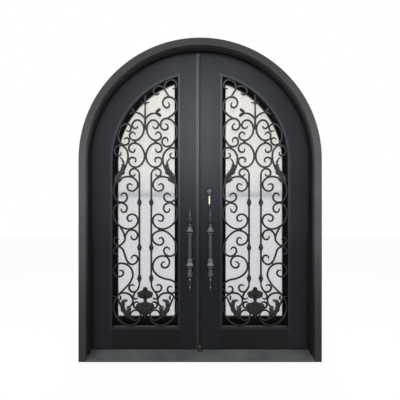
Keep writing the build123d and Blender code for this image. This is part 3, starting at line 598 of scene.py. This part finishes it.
def knuckle(x, z):
    """Turned swelling on an upright bar, the same above and below its middle."""
    upper = ((3, 18.6), (9, 16.5), (13.5, 12.5), (15.5, 12), (18, 14), (23, 13), (25, 8.5))
    profile = [(-rise, radius) for rise, radius in upper[::-1]] + list(upper)
    return lathe(profile, x, GRILLE_FRONT + BAR / 2, z, 28)


def upright_bars():
    """The two straight bars of a leaf, with their knuckles."""
    half = BAR / 2 - 0.6
    parts = []
    for x in (BAY - BAR_REACH, BAY + BAR_REACH):
        parts.append(soft_block(x - half, x + half, GRILLE_FRONT, GRILLE_FRONT + BAR,
                                BAR_FOOT - 3, BAR_TOP + 3, 2.2))
        parts += [knuckle(x, z) for z in KNUCKLE_LEVELS]
    return merge(*parts)


def spear():
    """Stem that runs up from the meeting of two scrolls to a narrow blade, with two barbs."""
    x = BAY - 1.5
    rings = []
    for z, half in ((STEM_FOOT, 3), (1790, 7), (1830, 9), (1868, 7.5), (1960, 5.6), (1984, 7),
                    (1998, 7), (2020, 8.2), (2040, 6.5), (2056, 2.0)):
        rings.append([(x + u, SCROLL_MIDDLE + v, z)
                      for u, v in section(half, min(6, half * 1.1), half * 0.45)[::-1]])
    barbs = []
    for side in (-1, 1):
        line = ((x, 1964), (x + side * 8, 1978), (x + side * 18, 1987), (x + side * 27, 1983))
        barbs.append(forged_bar(line, 4, 10.0, SCROLL_FRONT + 1, SCROLL_BACK - 1, 30, 0.6))
        barbs.append(pebble(x + side * 26, SCROLL_FRONT + 5, 1985, 6.5, 5.5, 6.5))
    return merge(skin(rings), *barbs)


def collars():
    """Rounded fire welds where neighbouring scrolls touch."""
    sizes = list(SINGLE_COLLARS)
    for x, z, width, height in PAIRED_COLLARS:
        sizes += [(x, z, width, height), (2 * BAY - x, z, width, height)]
    return merge(*[pebble(x, SCROLL_MIDDLE, z, width * 0.34, 7.2, height * 0.42, 20, 11)
                   for x, z, width, height in sizes])


def bud(root, tip, size):
    """One half of the forked bud that ends a scroll: a swelling leaf with a ball at its tip."""
    (x0, z0), (x1, z1) = root, tip
    mid = ((x0 + x1) / 2 + (z1 - z0) * 0.12, (z0 + z1) / 2 + abs(x1 - x0) * 0.10)
    front = SCROLL_FRONT + 1
    leaf = cast_leaf((root, mid, tip), size * 2.3, 2, 5.0, 0.75, SCROLL_FRONT + 3, 1.0)
    core = forged_bar((root, mid, tip), 6, size * 1.5, front, SCROLL_BACK - 2, 10, 0.8)
    ball = pebble(x1, front, z1, size * 1.12, size * 0.85, size * 1.12)
    return leaf, merge(ball, core)


# Spines, widths and lobes of the cast leaves; the two long ones add their cup and their tip
LEAF_SPINES = (
    (((-566, 306), (-588, 340), (-604, 380), (-605, 414), (-590, 436), (-566, 437)), 40, 5),
    (((-560, 312), (-562, 340), (-556, 366), (-540, 384)), 40, 4),
    (((-628, 440), (-622, 458), (-628, 478)), 16, 2),
)
STEM_LEAVES = (
    (((-664, 1342), (-654, 1382), (-632, 1418), (-608, 1452), (-600, 1496)), 46, 8, 8.0, 0.66),
    (((-655, 1352), (-638, 1372), (-608, 1386)), 31, 5),
    (((-632, 1418), (-610, 1430), (-586, 1438)), 26, 4),
    (((-195, 1342), (-205, 1382), (-227, 1418), (-251, 1452), (-259, 1496)), 46, 8, 8.0, 0.66),
    (((-204, 1352), (-221, 1372), (-251, 1380)), 31, 5),
    (((-227, 1418), (-249, 1430), (-273, 1438)), 26, 4),
)
# Levels of the shell, and its outlines as angle from level and radius
SHELL_CROWN, SHELL_FAN, SHELL_WAIST, SHELL_FOOT = 521, 452, 436, 404
SHELL_REACH = ((8, 44), (18, 60), (30, 72), (42, 79), (58, 71), (90, 73))
FOOT_REACH = ((2, 66), (15, 76), (24, 79), (39, 69), (54, 68), (75, 84), (90, 102))


def castings():
    """Leaves at the foot of the bay and along the stems of the long scrolls."""
    parts = [cast_leaf(*leaf) for leaf in STEM_LEAVES]
    for spine, width, lobes in LEAF_SPINES:
        parts += [cast_leaf(spine, width, lobes), cast_leaf(across(spine), width, lobes)]
    return merge(*parts)


# Root, tip and size of each half of the forked buds
BUDS = (((-348, 1906), (-319, 1929), 10.5), ((-348, 1902), (-315, 1884), 11),
        ((-512, 1908), (-531, 1931), 8.5), ((-514, 1908), (-545, 1898), 8))


def buds():
    """Leaves of all buds, and their balls with the cores."""
    leaves, balls = zip(*[bud(*sizes) for sizes in BUDS])
    return merge(*leaves), merge(*balls)


def shell():
    """Cast shell with a crown on top, a narrow waist and a leafy foot."""
    front, crown, foot = SCROLL_FRONT + 1, SHELL_CROWN, SHELL_FOOT
    balls = [pebble(BAY, front - 4, crown + 14, 9, 7, 10)]
    balls += [pebble(BAY + x, front - 3, crown + 10, 8, 6, 9) for x in (-10, 10)]
    cup = lathe(((-8, 10), (-4, 16), (0, 17), (4, 13), (7, 9)), BAY, front - 1, crown, 24)
    waist = lathe(((-26, 18), (-15, 14), (0, 12.5), (12, 15), (20, 20)), BAY, front,
                  SHELL_WAIST, 24)
    boss = pebble(BAY, front - 4, foot + 1, 15, 9, 13)
    fans = [fan(BAY, SHELL_FAN, SHELL_REACH, 9, front, 10),
            fan(BAY, foot, FOOT_REACH, 7, front, 12, True)]
    side_spine, low_spine = ((0, 20), (30, 4), (58, -8), (74, -28)), ((0, -12), (0, -54), (0, -104))
    leaves = [cast_leaf([(BAY + side * x, foot + z) for x, z in side_spine], 30, 4, 10)
              for side in (-1, 1)]
    leaves.append(cast_leaf([(BAY + x, foot + z) for x, z in low_spine], 44, 5, 14))
    return merge(*balls, cup, waist, boss), merge(*fans, *leaves)


# Pulls, lock, hinges and small parts


# Depth below the top of the pull, and radius
PULL_OUTLINE = ((0, 1.2), (20, 3.4), (42, 6.0), (54, 8.2), (58, 8.8), (61, 7.6), (63, 4.6),
                (67, 4.6), (70, 9.4), (73, 11.4), (76, 9.4), (79, 6), (90, 8), (104, 8.5),
                (116, 7), (124, 5.5), (128, 9), (132, 11), (136, 11), (140, 9), (142, 7.5),
                (144, 13.5), (148, 15.5), (160, 18.5), (172, 23.5), (178, 27), (181, 26.5),
                (182, 9), (188.5, 9), (189.5, 15.5), (192, 18.5), (195, 19), (198, 17.5),
                (201, 13.5), (205, 13),
                (386, 13), (390, 13.5), (394, 17), (399, 18.5), (404, 17), (408, 18), (420, 21),
                (434, 27), (438, 28.5), (441, 27), (442, 9), (448.5, 9), (450, 18), (453, 20),
                (456, 18), (460, 12), (466, 11), (478, 12.5), (496, 13), (512, 10), (524, 6.5),
                (534, 4), (540, 5), (544, 8.5), (549, 10), (554, 8.5), (559, 4.2), (566, 3.6),
                (596, 3.4), (601, 5.5), (606, 7.8), (611, 5.5), (616, 3.6), (630, 2.6), (635, 1.0))


def petal(z, angle, length, width, spread, down):
    """Leaf of the basket at one end of a pull: it bows out and rolls over at its tip."""
    rows, columns, curl = 16, 6, 9
    points = []
    ca, sa = cos(angle), sin(angle)
    for i in range(rows + 1):
        u = i / rows
        out = spread * sin(pi * 0.62 * u) + curl * ease(0.6, 1.0, u)
        rise = length * (u - 0.22 * ease(0.75, 1.0, u)) * (-1 if down else 1)
        half = width / 2 * (0.45 + 0.75 * sin(pi * u) ** 0.8) * (1 - 0.45 * ease(0.7, 1.0, u))
        for j in range(columns + 1):
            v = -1 + 2 * j / columns
            r = out - abs(v) * half * 0.35 + 1.1 * (1 - abs(v))
            points.append((-PULL_X + r * ca - v * half * sa, PULL_Y + r * sa + v * half * ca,
                           z + rise))
    return sheet(points, columns, (0, 1, 2, 3) if down else (3, 2, 1, 0))


def pull_body():
    """Turned pull with a reeded middle, on two posts."""
    profile = [(PULL_TOP - depth, radius) for depth, radius in PULL_OUTLINE]
    top, step, count = 206, 6, 31
    reeds = [(PULL_TOP - top - i * step, 13.9 if i % 2 else 13.2) for i in range(count)]
    parts = [lathe(profile, -PULL_X, PULL_Y, 0.0, 36),
             lathe(reeds, -PULL_X, PULL_Y, 0.0, 48, 12, 0.12)]
    post = ((0, 19), (1, 19), (4, 18.6), (6, 13), (10, 10), (14, 7.4), (32, 7.4), (36, 9),
            (40, 7), (PULL_STANDOFF, 7))
    parts += [lathe_out(post, -PULL_X, z, LEAF_FRONT, -1, 32) for z in PULL_POSTS]
    return merge(*parts)


# Leaves of the two baskets: depth of the root, first angle, length, width, spread, hanging
PETALS = ((127, pi / 2, 50, 23, 17, False), (112, pi / 4, 42, 19, 12, False),
          (460, pi / 2, 58, 24, 18, True), (486, pi / 4, 42, 19, 12, True))


def pull_leaves():
    """The leafy baskets of a pull, four leaves to a row."""
    return merge(*[petal(PULL_TOP - depth, first + k * pi / 2, *sizes)
                   for k in range(4) for depth, first, *sizes in PETALS])


def pull_groove_shade():
    """Near-black rings under the two bells: painted shade."""
    groove = ((0, 10), (1.5, 14), (5, 14), (6.4, 10))
    return merge(*[lathe([(PULL_TOP - depth - down, radius) for down, radius in groove],
                         -PULL_X, PULL_Y, 0.0, 32) for depth in (182.4, 442.4)])


def inside_pull():
    """Plain round pull of the inside, on two posts."""
    r, foot, top = INSIDE_PULL_RADIUS, INSIDE_PULL_FOOT, INSIDE_PULL_TOP
    bar = ((foot, r * 0.5), (foot + 1.5, r * 0.85), (foot + 4, r), (top - 4, r),
           (top - 1.5, r * 0.85), (top, r * 0.5))
    post = ((0, 19), (1, 19), (4, 18.4), (6, 12), (9, 8), (PULL_STANDOFF - 8, 7.6),
            (PULL_STANDOFF, 8))
    return merge(lathe(bar, -PULL_X, LEAF_BACK + PULL_STANDOFF, 0.0, 32),
                 *[lathe_out(post, -PULL_X, z, LEAF_BACK, 1, 32) for z in PULL_POSTS])


def rose():
    """Round plate of the lock, sunk round the cylinder."""
    thick, sunk, hole = ROSE_THICK, ROSE_THICK - 1.2, CYLINDER_RADIUS
    profile = ((0, ROSE_RADIUS), (thick * 0.45, ROSE_RADIUS), (thick * 0.8, ROSE_RADIUS - 2),
               (thick, ROSE_RADIUS - 5), (thick, hole + 5), (sunk, hole + 3), (sunk, hole + 0.4))
    return lathe_out(profile, LOCK_X, LOCK_Z, LEAF_FRONT, -1, 48)


def cylinder_face():
    """Lock cylinder with a ring groove round its plug."""
    front = ROSE_THICK + CYLINDER_PROUD
    profile = ((0, CYLINDER_RADIUS), (front - 1.5, CYLINDER_RADIUS), (front, CYLINDER_RADIUS - 1.6),
               (front, 9.5), (front - 0.8, 9.0), (front - 0.8, 8.6), (front, 8.2), (front, 1.0))
    return lathe_out(profile, LOCK_X, LOCK_Z, LEAF_FRONT, -1, 48)


def key_bow():
    """Flat key seen on edge, with a hole through its bow."""
    half, middle = 1.2, KEYHOLE_Y - 11.5
    blade = soft_block(LOCK_X - half, LOCK_X + half, KEYHOLE_Y - 3, KEYHOLE_Y + 4, LOCK_Z - 4.6,
                       LOCK_Z + 4.6, 0.3)
    sides = ((-half, 3.2), (-half, 9.6), (-half, 10.4), (half, 10.4), (half, 9.6), (half, 3.2))
    rings = [[(LOCK_X + x, middle + r * cos(a) * 0.98, LOCK_Z + r * sin(a)) for a in turns(28)]
             for x, r in sides]
    return merge(blade, skin(rings, closed=True))


def split_ring():
    """The two coils of the ring between the key and its tag, seen half on edge."""
    wire, wide, high = 1.0, 11 * 0.35, 15
    parts = []
    for coil in (0, 1):
        y = TAG_Y + 2 * coil
        parts.append(skin([[(LOCK_X + (wide + wire * cos(b)) * cos(a), y + wire * sin(b),
                             LOCK_Z - 22 + (high + wire * cos(b)) * sin(a)) for b in turns(8)]
                           for a in turns(32)], closed=True))
    return merge(*parts)


def tag():
    """Narrow brass tag that hangs below the lock, with a knob on a neck at its foot."""
    body = soft_block(LOCK_X - 5.5, LOCK_X + 5.5, TAG_Y - 1.2, TAG_Y + 1.3, TAG_FOOT, TAG_TOP, 1.0)
    knob = pebble(LOCK_X, TAG_Y, TAG_FOOT - 9, 3.2, 2.4, 3.2)
    neck = soft_block(LOCK_X - 1, LOCK_X + 1, TAG_Y - 0.8, TAG_Y + 0.8, TAG_FOOT - 8,
                      TAG_FOOT + 2, 0.4)
    return merge(body, knob, neck)


def meeting_fin():
    """Rubber seal with the soft fin that closes the last of the gap between the leaves."""
    return merge(soft_block(-1.9, 3.0, 66.2, 74.8, MEETING_FOOT, SEAL_TOP, 0.8),
                 soft_block(-3.0, 3.0, 69.6, 71.0, MEETING_FOOT, SEAL_TOP, 0.3))


def meeting_strip():
    """Painted weather strip at the meeting edge of the right leaf, just behind its face."""
    return soft_block(-0.6, 4.0, 24, 30, MEETING_FOOT, STRIP_TOP, 0.3)


def window_line(inset, steps=28):
    """Outline of the window, drawn in by an inset."""
    radius = WINDOW_SIDE - inset
    right = -(WINDOW_LOCK + inset)
    high = SPRING + (radius**2 - right**2) ** 0.5
    last = atan2(high - SPRING, -right)
    arc = [(-radius * cos(last * i / steps), SPRING + radius * sin(last * i / steps))
           for i in range(steps + 1)]
    return [(-radius, WINDOW_SILL + inset), *arc, (right, WINDOW_SILL + inset)]


def sash_gasket():
    """Rubber strip in the gap round the glass panel."""
    clear, front, back = 0.2, 58, 70
    return skin([[(xo, front, zo), (xi, front, zi), (xi, back, zi), (xo, back, zo)]
                 for (xo, zo), (xi, zi) in zip(window_line(clear), window_line(SASH_GAP - clear))],
                closed=True)


def barrel(x, y, low, high, radius):
    """Hinge barrel with rounded ends."""
    profile = ((low, radius * 0.72), (low + 1, radius * 0.9), (low + 2.4, radius),
               (high - 2.4, radius), (high - 1, radius * 0.9), (high, radius * 0.72))
    return lathe(profile, x, y, 0.0, 32)


def frame_hinges():
    """Lower halves of the hinge barrels, with their tabs on the jamb."""
    edge = -REBATE - 1
    parts = []
    for z in HINGE_LEVELS:
        parts += [barrel(HINGE_X, HINGE_Y, z - HINGE_HALF, z, HINGE_RADIUS),
                  soft_block(edge - HINGE_TAB, edge, LEAF_BACK, HINGE_Y, z - HINGE_HALF + 0.5,
                             z - 0.5, 1.5)]
    return merge(*parts)


def leaf_hinges():
    """Upper halves of the hinge barrels, with their tabs on the leaf."""
    edge = -LEAF_EDGE + 1
    parts = []
    for z in HINGE_LEVELS:
        parts += [barrel(HINGE_X, HINGE_Y, z + 1, z + HINGE_HALF, HINGE_RADIUS),
                  soft_block(edge, edge + HINGE_TAB, LEAF_BACK, HINGE_Y, z + 1.5,
                             z + HINGE_HALF - 0.5, 1.5)]
    return merge(*parts)


def sash_hardware():
    """Butt hinges and turn buttons of the glass panel, with their screws."""
    x, y, plate = -WINDOW_SIDE + SASH_GAP / 2, SASH_BACK + SASH_BARREL, 3
    parts = []
    for z in SASH_HINGE_LEVELS:
        low, high = z - SASH_HALF, z + SASH_HALF
        parts += [barrel(x, y, low, high, SASH_BARREL),
                  soft_block(x - 24, x - SASH_GAP, LEAF_BACK, LEAF_BACK + plate, low, high, 0.8),
                  soft_block(x - SASH_BARREL, x - SASH_GAP, LEAF_BACK, y, low + 1, high - 1, 0.6),
                  soft_block(x, x + 21, SASH_BACK, SASH_BACK + plate, low, high, 0.8)]
        for rise in (-20, 0, 20):
            parts += [pebble(x - 16, LEAF_BACK + plate, z + rise, 3.4, 1.4, 3.4, 12, 7),
                      pebble(x + 14, SASH_BACK + plate, z + rise, 3.4, 1.4, 3.4, 12, 7)]
    x, front = -WINDOW_LOCK, SASH_BACK + 8
    for z in SASH_LATCH_LEVELS:
        parts += [soft_block(x - 26, x + 20, SASH_BACK, front, z - 11, z + 11, 2.4),
                  soft_block(x + 5, x + 19.5, LEAF_BACK, SASH_BACK + 1, z - 10.5, z + 10.5, 0.8),
                  pebble(x + 13, front, z, 4.8, 1.6, 4.8, 16, 7)]
    return merge(*parts)


def turn_piece():
    """Thumb turn of the inside on its round plate."""
    plate = ((0, ROSE_RADIUS), (ROSE_THICK * 0.5, ROSE_RADIUS), (ROSE_THICK, ROSE_RADIUS - 4),
             (ROSE_THICK, 9), (ROSE_THICK + 5, 7.5))
    grip = soft_block(LOCK_X - 4, LOCK_X + 4, LEAF_BACK + ROSE_THICK + 2, LEAF_BACK + 26,
                      LOCK_Z - 18, LOCK_Z + 18, 2.4)
    return merge(lathe_out(plate, LOCK_X, LOCK_Z, LEAF_BACK, 1, 48), grip)


# Build


def two_leaves(name, part, material, slot, nodes=(), **more):
    """The same piece on both leaves."""
    piece("left_" + name, part, material, "left_leaf", slot, ["left_" + n for n in nodes], **more)
    piece("right_" + name, flip(part), material, "right_leaf", slot,
          ["right_" + n for n in nodes], **more)


shell_body, shell_leaves = shell()
bud_leaves, bud_balls = buds()
for name, part in (("forged_scrolls", scrolls()), ("upright_bars", upright_bars()),
                   ("spear", spear()), ("collars", collars())):
    two_leaves(name, part, "iron", "grille_iron", ["grille"])
for name, part, material, thick in (("acanthus", castings(), "cast", CAST_SHEET),
                                    ("bud_leaves", bud_leaves, "iron", CAST_SHEET),
                                    ("bud_balls", bud_balls, "iron", 0.0),
                                    ("shell_core", shell_body, "iron", 0.0),
                                    ("shell_fans", shell_leaves, "iron", SHELL_SHEET)):
    two_leaves(name, part, material, "grille_iron", ["grille_castings"], thick=thick)
two_leaves("turned_pull", pull_body(), "pull", "pull_iron", ["outside_pull"])
# near-black rings under the bells: painted shade
two_leaves("pull_groove_shade", pull_groove_shade(), "sash", "pull_iron", ["outside_pull"])
two_leaves("pull_leaves", pull_leaves(), "leafwork", "pull_iron", ["outside_pull"],
           thick=PETAL_SHEET)
two_leaves("round_pull", inside_pull(), "pull", "pull_iron", ["inside_pull"])
two_leaves("sash_gasket", sash_gasket(), "seal", "seal_rubber")
two_leaves("smooth_barrels", leaf_hinges(), "leaf", "leaf_steel", ["leaf_hinge_barrels"])
two_leaves("sash_hardware", sash_hardware(), "pull", "sash_steel", ["sash_fittings"])
piece("left_jamb_barrels", frame_hinges(), "frame", "frame", "frame_steel",
      ["left_frame_hinge_barrels"])
piece("right_jamb_barrels", flip(frame_hinges()), "frame", "frame", "frame_steel",
      ["right_frame_hinge_barrels"])
for name, part, material, slot, nodes in (
        ("rose", rose(), "lock", "lock_chrome", ["lock_rose"]),
        ("cylinder", cylinder_face(), "chrome", "lock_chrome", ["lock_cylinder"]),
        ("key_bow", key_bow(), "chrome", "lock_chrome", ["key"]),
        ("split_ring", split_ring(), "chrome", "lock_chrome", ["key"]),
        ("tag", tag(), "brass", "key_brass", ["key"]),
        ("meeting_strip", meeting_strip(), "astragal", "leaf_steel", []),
        ("seal_fin", meeting_fin(), "seal", "seal_rubber", ["meeting_seal"]),
        ("turn", turn_piece(), "chrome", "lock_chrome", ["thumbturn"])):
    piece(name, part, material, "right_leaf", slot, nodes)

# Material of each carried-over node, without its side
FINISH = {
    "jamb": "frame", "arch_head": "frame", "stop": "stop", "seal": "seal", "hinge_stile": "rail",
    "lock_stile": "leaf", "bottom_rail": "kick", "arched_rail": "rail", "window_bead": "bead",
    "sash": "sash", "glass": "glass", "glazing_bead": "sash", "threshold": "sill",
    "astragal": "astragal", "strike_plate": "steel", "lock_faceplate": "steel",
}
for node, obj in frame["nodes"].items():
    key = node.removeprefix("left_").removeprefix("right_")
    if key not in FINISH:
        continue
    obj.data.materials.clear()
    obj.data.materials.append(MATERIALS[FINISH[key]])
    if key in ("glass", "seal"):
        continue
    weld = obj.modifiers.new("weld", "WELD")
    weld.merge_threshold = WELD_REACH
    edge = obj.modifiers.new("edge", "BEVEL")
    edge.width = EDGE_WIDTH
    edge.segments = 2
    edge.limit_method = "ANGLE"
    edge.angle_limit = radians(BEVEL_ANGLE)
    edge.harden_normals = True

# Stage, light and camera, in metres
FLOOR_REACH, FLOOR_TONE, FLOOR_GLOW = 12, 0.82, 0.86
CAMERA_PLACE, LENS, SENSOR, SHIFT = (0.0, -2.356, 1.105), 27.33, 36.0, (-0.0004, 0.0375)
LAMP_POWER = 50
LAMPS = (("key", (0.0, -3.3, 2.6), (0, 0, 1.5), (0.8, 1.8)),
         ("left", (-3.6, -1.9, 2.2), (0, 0, 1.3), (1.0, 2.4)),
         ("right", (3.6, -1.9, 2.2), (0, 0, 1.3), (1.0, 2.4)),
         ("rear", (0, 3.5, 4.2), (0, 0, 1.4), (4.0, 2.0)))


def seen_rays(tree):
    """One where the camera sees the backdrop, straight or in gloss or glass."""
    path = tree.nodes.new("ShaderNodeLightPath").outputs
    both = tree.add("Math", {0: path["Is Camera Ray"], 1: path["Is Transmission Ray"]}, "Value",
                    "MAXIMUM")
    return tree.add("Math", {0: both, 1: path["Is Glossy Ray"]}, "Value", "MAXIMUM")


def floor():
    """Pale floor that reads as plain white to the camera and keeps a soft shadow."""
    r = FLOOR_REACH
    mesh = bpy.data.meshes.new("floor")
    mesh.from_pydata([(-r, -r, 0), (r, -r, 0), (r, r, 0), (-r, r, 0)], [], [[0, 1, 2, 3]])
    obj = bpy.data.objects.new("floor", mesh)
    bpy.context.scene.collection.objects.link(obj)
    mat = bpy.data.materials.new("pale_floor")
    tree = Tree(mat)
    base = tree.nodes["Principled BSDF"]
    tree.feed(base, {"Base Color": (FLOOR_TONE, FLOOR_TONE, FLOOR_TONE, 1), "Roughness": 0.9})
    glow = tree.add("Emission", {"Strength": 1.05}, "Emission")
    share = tree.add("Math", {0: seen_rays(tree), 1: FLOOR_GLOW}, "Value", "MULTIPLY")
    mixed = tree.add("MixShader", {"Fac": share, 1: base.outputs["BSDF"], 2: glow}, "Shader")
    tree.feed(tree.nodes["Material Output"], {"Surface": mixed})
    mesh.materials.append(mat)


def world():
    """Soft grey surroundings that show as white to the camera and through the glass."""
    made = bpy.data.worlds.new("studio")
    bpy.context.scene.world = made
    tree = Tree(made)
    level = tree.spread(seen_rays(tree), 0.0, 1.0, 0.5, 1.0)
    tree.feed(tree.nodes["Background"], {"Color": (1, 1, 1, 1), "Strength": level})


def lamp(name, place, aim, size):
    """Soft lamp that points at a spot and can't be seen through the glass."""
    data = bpy.data.lights.new(name, "AREA")
    data.shape = "RECTANGLE"
    data.size, data.size_y = size
    data.energy = LAMP_POWER
    obj = bpy.data.objects.new(name, data)
    obj.location = place
    obj.rotation_euler = (Vector(aim) - Vector(place)).to_track_quat("-Z", "Y").to_euler()
    obj.visible_transmission = False
    bpy.context.scene.collection.objects.link(obj)


def camera():
    """The photograph's view, straight at the door from eye height."""
    data = bpy.data.cameras.new("photo_view")
    data.sensor_width, data.lens = SENSOR, LENS
    data.shift_x, data.shift_y = SHIFT
    obj = bpy.data.objects.new("photo_view", data)
    obj.location = CAMERA_PLACE
    obj.rotation_euler = (radians(90), 0, 0)
    bpy.context.scene.collection.objects.link(obj)
    bpy.context.scene.camera = obj


floor()
world()
for name, place, aim, size in LAMPS:
    lamp(name, place, aim, size)
camera()
bpy.context.scene.view_settings.view_transform = "Standard"
